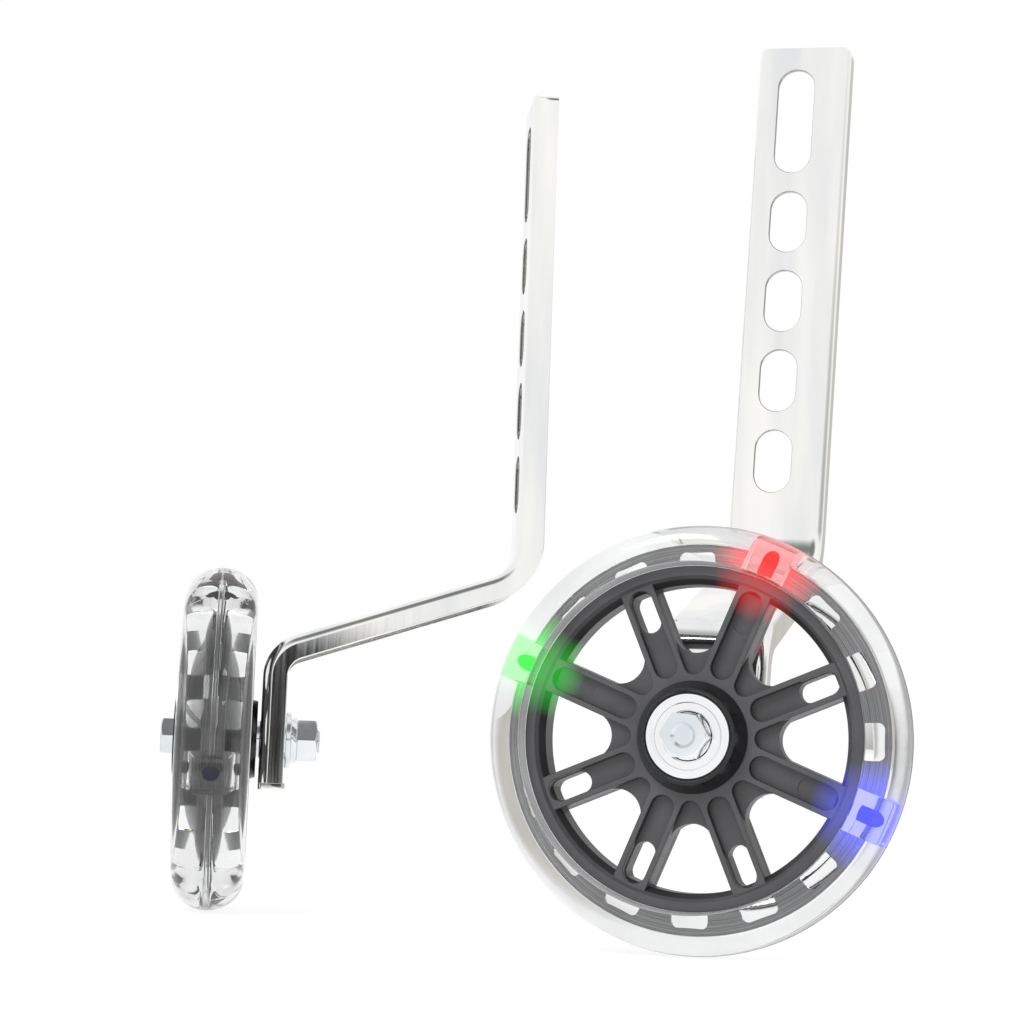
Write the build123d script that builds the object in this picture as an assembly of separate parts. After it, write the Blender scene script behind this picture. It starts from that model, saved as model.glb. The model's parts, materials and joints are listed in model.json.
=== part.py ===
from build123d import *
import math
import os

# A pair of bicycle training wheels, in millimetres, +Z up.
# Each unit is a bent channel bracket with a clear-tyred wheel that turns on a bolt at its lower end.
# The left unit lies along the axes, its wheel outward along -X, and the right unit is turned beside it.
# The origin is on the left bracket's outer face, midway between its two upper short slots.

# Tyre: a clear ring cast into the rim's groove and round its flange
tyre_radius = 55.0
tyre_half_width = 11.5
sidewall_depth = 11.3
bead_rise = 0.8
bead_width = 4.2

# Hub rim: a shallow groove open outward, with a thin windowed flange round its middle
lip_height = 2.4
lip_width = 1.2
rim_drop = 2.1
rim_wall = 1.4
floor_half_width = 3.4
groove_half_width = 2.4
flange_thickness = 1.2
flange_height = 4.3
flange_edge = 1.3
window_count = 16
window_length = 9.4
window_height = 5.4
window_corner = 1.5

# Hub spokes: ribs round sunk panels, and sunk webs between the spokes' roots
spoke_count = 8
spoke_width = 9.0
spoke_inset = 1.3
spoke_rib = 1.5
panel_depth = 3.0
panel_inset = 1.8
panel_end_wall = 1.3
web_inset = 1.6
web_length = 7.3
slot_length = 11.0
pocket_step = 0.3

# Hub boss: a tapered tube round the two bearings
boss_wall = 3.4
boss_end_wall = 1.3
boss_mouth = 0.5
boss_reach = 1.2

# Lights: clear blocks that stand in the rim's groove
red_light_angle = 67.5
green_light_angle = 157.5
blue_light_angle = 337.5
light_width = 11.0
light_half_depth = 5.0
light_cover = 2.6
light_corner = 0.8
led_radius = 2.0
led_rise = 1.2
led_body = 2.4

# Ball bearings, the common 8 x 22 x 7 size
bearing_bore = 8.06
bearing_outside = 22.0
bearing_width = 7.0
bearing_face = 12.0
inner_ring_outside = 12.1
outer_ring_inside = 17.9
ring_chamfer = 0.4
ball_count = 7
ball_radius = 2.0
ball_clearance = 0.03
shield_thickness = 0.5
shield_inset = 0.15
shield_gap = 0.25

# Parts on the axle inside the hub
sleeve_outside = 11.0
sleeve_bore = 8.2
core_gap = 1.4
magnet_outside = 14.0
coil_inside = 16.0
coil_outside = 20.0

# Axle bolt and nut
bolt_diameter = 8.0
bolt_head_across_flats = 11.0
bolt_head_height = 5.3
bolt_head_chamfer = 0.7
bolt_dimple_diameter = 6.4
bolt_dimple_depth = 0.8
bolt_end = 1.0
nut_across_flats = 13.0
nut_height = 6.4
nut_chamfer = 0.7
nut_clearance = 0.03
hex_corner_angle = 30.0

# Spacers and washers along the axle, inward from the wheel
spacer_length = 2.3
spacer_outside = 12.0
bush_outside = 14.0
bush_proud = 0.4
flat_washer_outside = 18.0
flat_washer_thickness = 1.6
spring_washer_outside = 14.4
spring_washer_thickness = 2.0
spring_washer_slit = 1.2
axle_clearance = 0.1

# Bracket: a channel whose web faces the wheel and whose flanges point away from it
sheet = 2.0
channel_width = 28.6
channel_depth = 7.8
channel_corner = 3.0
strap_offset = 81.0
strap_top = 218.6
plate_bottom = -14.0
lower_bend_height = 30.0
diagonal_slope = 19.0
lower_bend_radius = 14.0
upper_bend_radius = 13.0
end_corner = 2.5
tab_length = 8.6
tab_drop = 2.0
tab_inset = 4.3

# Slots in the strap
slot_margin = 7.0
long_slot_length = 33.0
short_slot_length = 19.2
short_slot_count = 4
short_slot_pitch = 25.0
slot_bridge = 6.0
slot_opening = 11.3
slot_shift = -2.0

# How near two lines lie to count as one
touching = 1e-6

# Where the two units stand: turn about the upright, swing of the bracket about its axle, spin of the wheel
left_turn = 90.0
left_swing = 0.0
left_spin = 8.0
right_turn = 23.3
right_swing = 2.6
right_spin = 0.0
right_across = 125.0
right_ahead = -159.0

# Worked-out places along the axle, measured outward from the wheel's middle
bearing_back = bearing_face - bearing_width
web_front = -bearing_face - spacer_length
web_back = web_front - sheet
bush_end = web_back - (channel_depth - sheet + bush_proud)
flat_washer_end = bush_end - flat_washer_thickness
spring_washer_end = flat_washer_end - spring_washer_thickness
nut_end = spring_washer_end - nut_height
core_half_length = bearing_back - core_gap

# Worked-out heights on the strap, measured up from the axle
long_slot_middle = strap_top - slot_margin - long_slot_length / 2
first_short_slot = strap_top - slot_margin - long_slot_length - slot_bridge - short_slot_length / 2
short_slot_middles = [first_short_slot - short_slot_pitch * k for k in range(short_slot_count)]
mount_height = (short_slot_middles[0] + short_slot_middles[1]) / 2
strap_face = -web_front + strap_offset

# Worked-out radii and widths of the wheel
lip_radius = tyre_radius - sidewall_depth
lip_inside = lip_radius - lip_height
rim_half_width = tyre_half_width - bead_width
groove_mouth = rim_half_width - lip_width
floor_inside = lip_inside - rim_drop
floor_radius = floor_inside + rim_wall
shoulder_radius = lip_radius + bead_rise
flange_radius = lip_radius + flange_height
window_end = flange_radius - flange_edge
spoke_half_depth = rim_half_width - spoke_inset
core_half_depth = spoke_half_depth - panel_depth
boss_radius = bearing_outside / 2 + boss_wall
boss_half_length = bearing_face + boss_reach
gap_start_radius = boss_radius + web_length
web_start_radius = boss_radius + web_inset
panel_start_radius = boss_radius + panel_inset
panel_end_radius = lip_inside - panel_end_wall
slot_start_radius = panel_end_radius - slot_length
panel_width = spoke_width - 2 * spoke_rib
light_end_radius = tyre_radius - light_cover
light_angles = {"red": red_light_angle, "green": green_light_angle, "blue": blue_light_angle}
spoke_angles = [360 / spoke_count * (k + 0.5) for k in range(spoke_count)]
window_angles = [360 / window_count * k for k in range(window_count)]


def turned(profile):
    """A solid turned about the axle from a closed profile of (radius, place along the axle) points."""
    face = make_face(Polyline(*[(r, z) for r, z in profile], close=True))
    return revolve(Plane.XZ * face, Axis.Z)


def tube(outside, inside, start, end):
    """A plain ring or tube on the axle between two places along it."""
    ring = Circle(outside / 2) - Circle(inside / 2)
    return Pos(0, 0, start) * extrude(ring, end - start)


def pill(start, end, width):
    """A round-ended slot along +X between two radii."""
    return Pos((start + end) / 2, 0) * SlotOverall(end - start, width)


def hub_boss():
    """The tapered boss with a seat for a bearing at each end and a shoulder between them."""
    bore = coil_outside / 2
    seat = bearing_outside / 2
    end = boss_half_length
    half = [
        (bore, 0),
        (bore, bearing_back),
        (seat, bearing_back),
        (seat, bearing_face),
        (seat + boss_mouth, end),
        (seat + boss_end_wall, end),
        (boss_radius, spoke_half_depth),
        (boss_radius, 0),
    ]
    mirrored = [(r, -z) for r, z in reversed(half[1:-1])]
    return turned(half + mirrored)


def spoke_gap(start):
    """The space between two spokes, lying along +X, from its round inner end to the rim."""
    half_pitch = math.radians(180 / spoke_count)
    apex = spoke_width / 2 / math.sin(half_pitch)
    middle = (start - apex * math.sin(half_pitch)) / (1 - math.sin(half_pitch))
    radius = middle - start
    tangent = (middle - apex) * math.cos(half_pitch) ** 2 + apex
    reach = 2 * lip_inside
    sides = [
        (tangent, (tangent - apex) * math.tan(half_pitch)),
        (reach, (reach - apex) * math.tan(half_pitch)),
        (reach, -(reach - apex) * math.tan(half_pitch)),
        (tangent, -(tangent - apex) * math.tan(half_pitch)),
    ]
    wedge = make_face(Polyline(*sides, close=True)) & Circle(lip_inside)
    return wedge + Pos(middle, 0) * Circle(radius)


def hub_spokes():
    """The spokes: a core with gaps and slots, and on both its faces the raised ribs round panels and webs."""
    disc = Circle(lip_radius) - Circle(boss_radius - boss_end_wall)
    core = disc
    ribs = disc
    panel = pill(panel_start_radius, panel_end_radius, panel_width)
    slot = pill(slot_start_radius, panel_end_radius, panel_width)
    pockets = []
    for k in range(spoke_count):
        turn = Rot(0, 0, 360 / spoke_count * k)
        core -= turn * spoke_gap(gap_start_radius)
        ribs -= turn * spoke_gap(web_start_radius)
    for angle in spoke_angles:
        turn = Rot(0, 0, angle)
        ribs -= turn * panel
        if angle in light_angles.values():
            pockets.append(turn * Pos(0, 0, core_half_depth - pocket_step) * extrude(slot, panel_depth))
        else:
            core -= turn * slot
    front = Pos(0, 0, core_half_depth) * extrude(ribs, panel_depth)
    body = extrude(core, core_half_depth, both=True) + front + mirror(front, Plane.XY)
    body -= pockets + [mirror(pocket, Plane.XY) for pocket in pockets]
    return body & rim_inside(rim_middle())


def rim_outside():
    """The rim's outer side: its two lips and the groove between them."""
    half = [(floor_radius, groove_half_width), (lip_radius, groove_mouth), (lip_radius, rim_half_width)]
    return [(r, -z) for r, z in reversed(half)] + half


def rim_inner_side():
    """The rim's side towards the axle, from its outer face to its inner one."""
    half = [(lip_inside, rim_half_width), (floor_inside, floor_half_width)]
    return half + [(r, -z) for r, z in reversed(half)]


def rim_middle():
    """The line midway through the rim's wall, where the spokes end."""
    half = [
        ((floor_inside + floor_radius) / 2, (floor_half_width + groove_half_width) / 2),
        ((lip_inside + lip_radius) / 2, rim_half_width),
    ]
    return [(r, -z) for r, z in reversed(half)] + half


def rim_inside(line):
    """All that lies inside a line round the rim, as one solid."""
    return turned([(0, line[0][1])] + line + [(0, line[-1][1])])


def light_seat():
    """The outline of a light block, lying along +X from the rim's floor outward."""
    outline = Rectangle(light_end_radius - floor_inside, light_width, align=(Align.MIN, Align.CENTER))
    return Pos(floor_inside, 0) * fillet(outline.vertices(), light_corner)


def light_body():
    return extrude(light_seat(), light_half_depth, both=True)


def light_block():
    """A clear block that stands in the rim's groove, with a hollow that holds its LED."""
    return light_body() - rim_inside(rim_outside()) - led()


def led():
    """A round-nosed LED lying along +X in its block."""
    start = lip_radius + led_rise
    body = Pos(start, 0, 0) * Rot(0, 90, 0) * Cylinder(
        led_radius, led_body, align=(Align.CENTER, Align.CENTER, Align.MIN)
    )
    return body + Pos(start + led_body, 0, 0) * Sphere(led_radius)


def hub_flange():
    """The thin windowed flange, open where the lights stand."""
    flange = Circle(flange_radius) - Circle((floor_inside + floor_radius) / 2)
    window = Pos(window_end - window_height / 2, 0) * RectangleRounded(
        window_height, window_length, window_corner
    )
    for angle in window_angles:
        lit = angle in light_angles.values()
        flange -= Rot(0, 0, angle) * (light_seat() if lit else window)
    return extrude(flange, flange_thickness / 2, both=True)


def hub():
    """The black moulding of boss, spokes, rim and flange."""
    rim = turned(rim_outside() + rim_inner_side())
    return hub_boss() + hub_spokes() + rim + hub_flange()


def tyre():
    """The clear ring, cast into the rim's groove, through the flange's windows and round the light blocks."""
    crown_height = tyre_radius - shoulder_radius
    crown = EllipticalCenterArc((shoulder_radius, 0), crown_height, tyre_half_width, -90, arc_size=180)
    upper = EllipticalCenterArc((shoulder_radius, rim_half_width), bead_rise, bead_width, 90, arc_size=90)
    lower = EllipticalCenterArc((shoulder_radius, -rim_half_width), bead_rise, bead_width, 180, arc_size=90)
    section = make_face([crown, upper, lower, Polyline(*rim_outside())])
    lights = [Rot(0, 0, angle) * light_body() for angle in light_angles.values()]
    return revolve(Plane.XZ * section, Axis.Z) - hub_flange() - lights


def bearing_inner_ring(start):
    """The ring on the axle, with its ball groove."""
    ring = tube(inner_ring_outside, bearing_bore, start, start + bearing_width)
    ring = chamfer(ring.edges().filter_by(GeomType.CIRCLE), ring_chamfer)
    return ring - ball_groove(start)


def bearing_outer_ring(start):
    """The ring in the hub, with its ball groove and a shield near each face."""
    end = start + bearing_width
    ring = tube(bearing_outside, outer_ring_inside, start, end) - ball_groove(start)
    hole = inner_ring_outside + 2 * shield_gap
    near = tube(outer_ring_inside, hole, start + shield_inset, start + shield_inset + shield_thickness)
    far = tube(outer_ring_inside, hole, end - shield_inset - shield_thickness, end - shield_inset)
    return ring + near + far


def ball_path():
    return (inner_ring_outside + outer_ring_inside) / 4


def ball_groove(start):
    """The space that the balls run through, cut from both rings."""
    section = Pos(ball_path(), start + bearing_width / 2) * Circle(ball_radius + ball_clearance)
    return revolve(Plane.XZ * section, Axis.Z)


def bearing_balls(start):
    """The balls, spaced evenly round the groove."""
    middle = Pos(ball_path(), 0, start + bearing_width / 2)
    return Compound([Rot(0, 0, 360 / ball_count * k) * middle * Sphere(ball_radius) for k in range(ball_count)])


def hexagon(across_flats, height, edge):
    """A hexagonal prism whose corners are turned off at the top."""
    prism = extrude(RegularPolygon(across_flats / 2, 6, major_radius=False), height)
    corner = across_flats / math.sqrt(3)
    top = corner - edge / math.tan(math.radians(hex_corner_angle))
    cone = turned([(0, 0), (corner, 0), (corner, height - edge), (top, height), (0, height)])
    return prism & cone


def axle_bolt():
    """A hex bolt from the outer side, its head on the outer bearing's inner ring."""
    head = Pos(0, 0, bearing_face) * hexagon(bolt_head_across_flats, bolt_head_height, bolt_head_chamfer)
    top = bearing_face + bolt_head_height
    head -= Pos(0, 0, top - bolt_dimple_depth) * extrude(Circle(bolt_dimple_diameter / 2), bolt_dimple_depth)
    tip = nut_end - bolt_end
    radius = bolt_diameter / 2
    bevel = bolt_end / 2
    end = [(0, tip), (radius - bevel, tip), (radius, tip + bevel)]
    shank = turned(end + [(radius, bearing_face), (0, bearing_face)])
    return shank + head


def axle_nut():
    """A hex nut with its turned-off corners facing inward."""
    body = hexagon(nut_across_flats, nut_height, nut_chamfer) - extrude(
        Circle(bolt_diameter / 2 + nut_clearance), nut_height
    )
    return Pos(0, 0, spring_washer_end) * Rot(180, 0, 0) * body


def spring_washer():
    """A flat coil of square section, pulled shut by the nut, with a slit."""
    outside = spring_washer_outside / 2
    inside = bolt_diameter / 2 + axle_clearance
    gap = math.degrees(spring_washer_slit / outside)
    outer = CenterArc((0, 0), outside, gap / 2, 360 - gap)
    inner = CenterArc((0, 0), inside, gap / 2, 360 - gap)
    coil = make_face([outer, inner, Line(outer @ 0, inner @ 0), Line(outer @ 1, inner @ 1)])
    return Pos(0, 0, spring_washer_end) * extrude(coil, spring_washer_thickness)


def side_line(inset, overrun=0):
    """The bracket's bent line seen from the side, at a depth behind the web's front."""
    slope = math.radians(diagonal_slope)
    drop = inset * (1 - math.sin(slope)) / math.cos(slope)
    rise = strap_offset * math.tan(slope)
    plate = -web_front + inset
    strap = plate + strap_offset
    return FilletPolyline(
        (plate, plate_bottom - overrun),
        (plate, lower_bend_height - drop),
        (strap, lower_bend_height + rise - drop),
        (strap, strap_top + overrun),
        radius=[lower_bend_radius - inset, upper_bend_radius + inset],
    )


def bent_bar(near, far, width, corner, overrun=0):
    """A bar that follows the bent line between two depths, its two front edges rounded."""
    front = side_line(near, overrun)
    back = side_line(far, overrun)
    outline = [front, back, Line(front @ 0, back @ 0), Line(front @ 1, back @ 1)]
    bar = extrude(Plane.YZ * make_face(outline), width / 2, both=True)
    front_line = Plane.YZ * front
    sides = bar.edges().filter_by(lambda e: abs(abs((e @ 0.5).X) - width / 2) < touching)
    along = [e for e in sides if front_line.distance_to(Vertex(0, (e @ 0.3).Y, (e @ 0.3).Z)) < touching]
    return fillet(along, corner)


def end_corner_cut():
    """What is taken off one top corner of the strap to round it, seen from the front."""
    reach = 2 * channel_depth
    block = Box(2 * end_corner, reach, 2 * end_corner, align=(Align.MIN, Align.CENTER, Align.MIN))
    return block - Rot(90, 0, 0) * Cylinder(end_corner, 2 * reach)


def bracket():
    """The pressed channel with its slots, axle hole and end tab."""
    channel = bent_bar(0, channel_depth, channel_width, channel_corner)
    inner_width = channel_width - 2 * sheet
    channel -= bent_bar(sheet, channel_depth + sheet, inner_width, channel_corner - sheet, sheet)
    corner_place = Pos(channel_width / 2 - end_corner, strap_face + channel_depth / 2, strap_top - end_corner)
    corner = corner_place * end_corner_cut()
    channel -= [corner, mirror(corner, Plane.YZ)]
    slots = [(long_slot_middle, long_slot_length)]
    slots += [(middle, short_slot_length) for middle in short_slot_middles]
    web_plane = Plane((slot_shift, strap_face - sheet, 0), x_dir=(0, 0, 1), z_dir=(0, 1, 0))
    for middle, length in slots:
        channel -= extrude(web_plane * Pos(middle, 0) * SlotOverall(length, slot_opening), 3 * sheet)
    hole = Circle(bolt_diameter / 2 + axle_clearance)
    channel -= Pos(0, -web_front - sheet, 0) * Rot(-90, 0, 0) * extrude(hole, 3 * sheet)
    tab_width = channel_width - 2 * tab_inset
    tab = Box(tab_width, tab_length, tab_drop, align=(Align.CENTER, Align.MIN, Align.MAX))
    return channel + Pos(0, -web_front, plate_bottom) * tab


def wheel_parts():
    """The pieces that turn, with the axle along +Z and the wheel's outer face up."""
    parts = {
        "hub": hub(),
        "tyre": tyre(),
        "generator_coil": tube(coil_outside, coil_inside, -core_half_length, core_half_length),
        "outer_bearing_outer_ring": bearing_outer_ring(bearing_back),
        "inner_bearing_outer_ring": bearing_outer_ring(-bearing_face),
    }
    for colour, angle in light_angles.items():
        parts[f"{colour}_light_block"] = Rot(0, 0, angle) * light_block()
        parts[f"{colour}_led"] = Rot(0, 0, angle) * led()
    return parts


def axle_parts():
    """The pieces fixed to the bracket along the axle, modelled as the wheel is."""
    hole = bolt_diameter + 2 * axle_clearance
    return {
        "axle_bolt": axle_bolt(),
        "wheel_spacer": tube(spacer_outside, hole, web_front, -bearing_face),
        "channel_bush": tube(bush_outside, hole, bush_end, web_back),
        "flat_washer": tube(flat_washer_outside, hole, flat_washer_end, bush_end),
        "spring_washer": spring_washer(),
        "axle_nut": axle_nut(),
        "bearing_sleeve": tube(sleeve_outside, sleeve_bore, -bearing_back, bearing_back),
        "magnet_ring": tube(magnet_outside, sleeve_outside, -core_half_length, core_half_length),
        "outer_bearing_inner_ring": bearing_inner_ring(bearing_back),
        "outer_bearing_balls": bearing_balls(bearing_back),
        "inner_bearing_inner_ring": bearing_inner_ring(-bearing_face),
        "inner_bearing_balls": bearing_balls(-bearing_face),
    }


def write_unit(side, centre, turn, swing, spin, wheel, axle, bracket_solid):
    """Place one unit's pieces and write each to its own file."""
    stand = Pos(*centre) * Rot(0, 0, -turn)
    hung = stand * Rot(0, swing, 0)
    outward = Rot(90, 0, 0)
    pieces = {"bracket": hung * bracket_solid}
    pieces.update({name: hung * outward * solid for name, solid in axle.items()})
    pieces.update({name: stand * outward * Rot(0, 0, spin) * solid for name, solid in wheel.items()})
    for name, solid in pieces.items():
        export_step(solid, f"parts/{side}_{name}.step")


os.makedirs("parts", exist_ok=True)
wheel = wheel_parts()
axle = axle_parts()
bracket_solid = bracket()
left_centre = Vector(-strap_face, slot_shift, -mount_height)
right_centre = left_centre + Vector(right_across, right_ahead, 0)
write_unit("left", left_centre, left_turn, left_swing, left_spin, wheel, axle, bracket_solid)
write_unit("right", right_centre, right_turn, right_swing, right_spin, wheel, axle, bracket_solid)
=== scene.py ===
import json
import math
from collections import defaultdict

import bmesh
import bpy
from mathutils import Matrix, Vector


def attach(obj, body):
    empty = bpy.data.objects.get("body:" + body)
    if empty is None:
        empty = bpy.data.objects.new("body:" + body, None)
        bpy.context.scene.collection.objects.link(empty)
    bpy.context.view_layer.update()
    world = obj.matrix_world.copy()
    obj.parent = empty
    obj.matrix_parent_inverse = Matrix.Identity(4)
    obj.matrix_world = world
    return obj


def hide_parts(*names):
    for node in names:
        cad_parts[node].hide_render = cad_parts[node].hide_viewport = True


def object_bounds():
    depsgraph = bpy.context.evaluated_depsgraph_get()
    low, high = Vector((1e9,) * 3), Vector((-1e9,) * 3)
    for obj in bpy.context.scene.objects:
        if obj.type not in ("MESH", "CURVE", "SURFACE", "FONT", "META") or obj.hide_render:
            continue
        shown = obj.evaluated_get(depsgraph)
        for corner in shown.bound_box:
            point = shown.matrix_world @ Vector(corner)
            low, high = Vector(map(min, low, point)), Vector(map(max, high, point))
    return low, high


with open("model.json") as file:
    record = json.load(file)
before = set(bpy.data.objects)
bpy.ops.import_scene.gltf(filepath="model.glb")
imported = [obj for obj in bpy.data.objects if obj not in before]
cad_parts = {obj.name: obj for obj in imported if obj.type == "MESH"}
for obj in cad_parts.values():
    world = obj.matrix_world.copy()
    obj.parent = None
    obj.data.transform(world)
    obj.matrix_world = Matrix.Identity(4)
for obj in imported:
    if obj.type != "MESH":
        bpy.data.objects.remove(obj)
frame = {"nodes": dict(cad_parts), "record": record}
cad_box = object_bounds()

# Sizes are in millimetres, as in the part's source, and become metres when a piece is placed.
MM = 0.001
SIDES = ("left", "right")

# How fine the meshes are
ROUND_STEPS = 192
TYRE_STEPS = 2 * ROUND_STEPS
FASTENER_STEPS = 96
HOLE_STEPS = 64
LED_STEPS = 48
WELD_REACH = 1e-5
MITRE_LIMIT = 0.3

# The sharpest edges, in degrees, that shading smooths over
SHADE_ANGLE = 38
FASTENER_ANGLE = 32
TYRE_ANGLE = 60

# Tyre
tyre_radius = 55.0
tyre_half_width = 11.5
sidewall_depth = 11.3
bead_rise = 0.8
bead_width = 4.2
air_film = 0.06
skin_allowance = 0.01
seam_height = 0.14
seam_width = 0.22
crown_angle_step = 3
crown_steps = 30
seam_angle_step = 0.4
seam_steps = 14

# Hub rim
lip_height = 2.4
lip_width = 1.2
rim_drop = 2.1
rim_wall = 1.4
floor_half_width = 3.4
groove_half_width = 2.4
flange_thickness = 1.2
flange_height = 4.3
flange_edge = 1.3
window_count = 16
window_length = 9.4
window_height = 5.4
window_corner = 1.5

# Hub spokes
spoke_count = 8
spoke_width = 9.0
spoke_inset = 1.3
spoke_rib = 1.5
panel_depth = 3.0
panel_inset = 1.8
panel_end_wall = 1.3
web_inset = 1.6
web_length = 7.3
slot_length = 11.0
slot_ledge = 0.25
pocket_step = 0.3
moulded_edge = 0.35
moulded_crease = 0.15
overlap = 0.15

# Hub boss
boss_wall = 3.4
boss_end_wall = 1.3
boss_mouth = 0.5
boss_reach = 1.2
boss_bore_radius = 10.0

# Lights
light_angles = {"red": 67.5, "green": 157.5, "blue": 337.5}
light_width = 11.0
light_half_depth = 5.0
light_cover = 2.6
light_corner = 0.8
led_radius = 2.0
led_rise = 1.2
led_body = 2.4
lit_side = "right"

# How dark and how pale the ringed tool-mark tones under each tyre are; the difference between the two wheels
# is painted light and shade
tool_mark_tones_and_light = {"left": (0.05, 0.17), "right": (0.17, 0.46)}

# Bearings
bearing_bore = 8.06
bearing_outside = 22.0
bearing_width = 7.0
bearing_face = 12.0
inner_ring_outside = 12.1
outer_ring_inside = 17.9
ring_edge = 0.4
shield_thickness = 0.5
shield_inset = 0.15
shield_gap = 0.25
shield_groove = 0.3

# Axle bolt, nut and washers
bolt_diameter = 8.0
bolt_head_across_flats = 11.0
bolt_head_height = 5.3
bolt_dimple_diameter = 6.4
bolt_dimple_depth = 0.8
bolt_dimple_lip = (0.15, 0.2)
bolt_end = 1.0
bolt_tip_chamfer = 0.2
thread_pitch = 1.25
thread_depth = 0.6
thread_steps = 20
nut_across_flats = 13.0
nut_height = 6.4
nut_clearance = 0.03
hex_chamfer = 0.7
hex_corner_angle = 30.0
spacer_length = 2.3
spacer_outside = 12.0
bush_proud = 0.4
flat_washer_outside = 18.0
flat_washer_thickness = 1.6
spring_washer_outside = 14.4
spring_washer_thickness = 2.0
spring_washer_slit = 1.2
spring_washer_slant = 0.35
axle_clearance = 0.1
washer_edge = 0.25

# Bracket
sheet = 2.0
channel_width = 28.6
channel_depth = 7.8
channel_corner = 3.0
strap_offset = 81.0
strap_top = 218.6
plate_bottom = -14.0
lower_bend_height = 30.0
diagonal_slope = math.radians(19.0)
lower_bend_radius = 14.0
upper_bend_radius = 13.0
bend_steps = 24
end_corner = 2.5
tab_length = 8.6
tab_drop = 2.0
tab_inset = 4.3
tab_corner = 1.0
tab_gap = 0.05
sheared_edge = 0.3
sharp_edge = 0.01
wall_facing = 0.9

# Slots in the strap
slot_margin = 7.0
long_slot_length = 33.0
short_slot_length = 19.2
short_slot_count = 4
short_slot_pitch = 25.0
slot_bridge = 6.0
slot_opening = 11.3
slot_shift = -2.0

# How each unit stands: swing of its bracket about the axle and spin of its wheel, in degrees
bracket_swing = {"left": 0.0, "right": 2.6}
wheel_spin = {"left": 8.0, "right": 0.0}

# Camera, measured from the left wheel's middle
camera_offset = Vector((12.55, -699.75, -20.3))
camera_turn = math.radians(-6.62)
camera_rise = math.radians(7.98)
camera_roll = math.radians(2.03)
focal_length_px = 2136.5
image_size_px = 1024

# The room that metal sees: its walls, and its darker sides, each with a direction, the cosines at which it
# starts and is full, and a colour
wall_colour = (0.97, 0.97, 0.97)
dark_sides = [
    (Vector((0.0, -1.0, 0.03)), 0.9970, 0.9986, (0.012, 0.012, 0.013)),
    (Vector((0.75, -0.35, -0.55)), 0.60, 0.92, (0.10, 0.092, 0.088)),
    (Vector((0.55, 0.82, 0.15)), 0.93, 0.985, (0.60, 0.58, 0.54)),
    (Vector((0.0, -0.5, 0.85)), 0.82, 0.95, (0.22, 0.23, 0.23)),
]

# The backdrop that clear parts see: white towards one direction and darker round it
backdrop_direction = Vector((0.115, 0.983, 0.139))
backdrop_edge = 0.45
backdrop_core = 0.94
backdrop_shade = (0.13, 0.13, 0.135)

# Floor and light
floor_colour = (0.24, 0.24, 0.24)
floor_glow = 0.86
floor_reach = 6.0
soft_strength = 0.55
lamps = {"key": ((-0.9, -1.1, 0.9), 14), "fill": ((1.2, -0.7, 0.4), 7)}
lamp_target = (0, -0.1, -0.05)
lamp_size = 0.9

# Places along the axle, measured outward from the wheel's middle
bearing_back = bearing_face - bearing_width
web_front = -bearing_face - spacer_length
bush_end = web_front - channel_depth - bush_proud
flat_washer_end = bush_end - flat_washer_thickness
spring_washer_end = flat_washer_end - spring_washer_thickness
nut_end = spring_washer_end - nut_height

# Radii and widths of the wheel
lip_radius = tyre_radius - sidewall_depth
lip_inside = lip_radius - lip_height
rim_half_width = tyre_half_width - bead_width
groove_mouth = rim_half_width - lip_width
floor_inside = lip_inside - rim_drop
floor_radius = floor_inside + rim_wall
shoulder_radius = lip_radius + bead_rise
flange_radius = lip_radius + flange_height
window_end = flange_radius - flange_edge
spoke_half_depth = rim_half_width - spoke_inset
core_half_depth = spoke_half_depth - panel_depth
boss_radius = bearing_outside / 2 + boss_wall
boss_half_length = bearing_face + boss_reach
gap_start_radius = boss_radius + web_length
web_start_radius = boss_radius + web_inset
panel_start_radius = boss_radius + panel_inset
panel_end_radius = lip_inside - panel_end_wall
slot_start_radius = panel_end_radius - slot_length
panel_width = spoke_width - 2 * spoke_rib
light_end_radius = tyre_radius - light_cover
axle_hole = bolt_diameter / 2 + axle_clearance
spoke_angles = [360 / spoke_count * (k + 0.5) for k in range(spoke_count)]
window_angles = [360 / window_count * k for k in range(window_count)]


# Outlines

def arc(centre, radii, start, end, steps):
    """Points along an ellipse's arc, its angles in degrees."""
    turns = [math.radians(start + (end - start) * k / steps) for k in range(steps + 1)]
    return [Vector((centre[0] + radii[0] * math.cos(t), centre[1] + radii[1] * math.sin(t))) for t in turns]


def circle(radius, steps=ROUND_STEPS, centre=(0, 0)):
    return arc(centre, (radius, radius), 0, 360, steps)[:-1]


def rounded(points, radii, steps=5):
    """A closed outline whose corners are rounded, each with its own radius."""
    outline = []
    for k, point in enumerate(points):
        corner = Vector(point)
        if radii[k] == 0:
            outline.append(corner)
            continue
        back = (Vector(points[k - 1]) - corner).normalized()
        ahead = (Vector(points[(k + 1) % len(points)]) - corner).normalized()
        half = back.angle(ahead) / 2
        middle = corner + (back + ahead).normalized() * radii[k] / math.sin(half)
        start = corner + back * radii[k] / math.tan(half) - middle
        end = corner + ahead * radii[k] / math.tan(half) - middle
        sweep = -start.angle_signed(end)
        for s in range(steps + 1):
            outline.append(middle + Matrix.Rotation(sweep * s / steps, 2) @ start)
    return outline


def rectangle(left, right, low, high, radius, steps=5):
    """A rectangle with rounded corners."""
    corners = [(left, low), (right, low), (right, high), (left, high)]
    return rounded(corners, [radius] * len(corners), steps)


def turned(outline, degrees):
    """An outline turned about the wheel's middle."""
    spin = Matrix.Rotation(math.radians(degrees), 2)
    return [spin @ Vector(point) for point in outline]


def pill(start, end, width):
    """A round-ended slot along +X between two radii."""
    radius = width / 2
    far = arc((end - radius, 0), (radius, radius), -90, 90, steps=14)
    near = arc((start + radius, 0), (radius, radius), 90, 270, steps=14)
    return far + near


# Meshes

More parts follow.
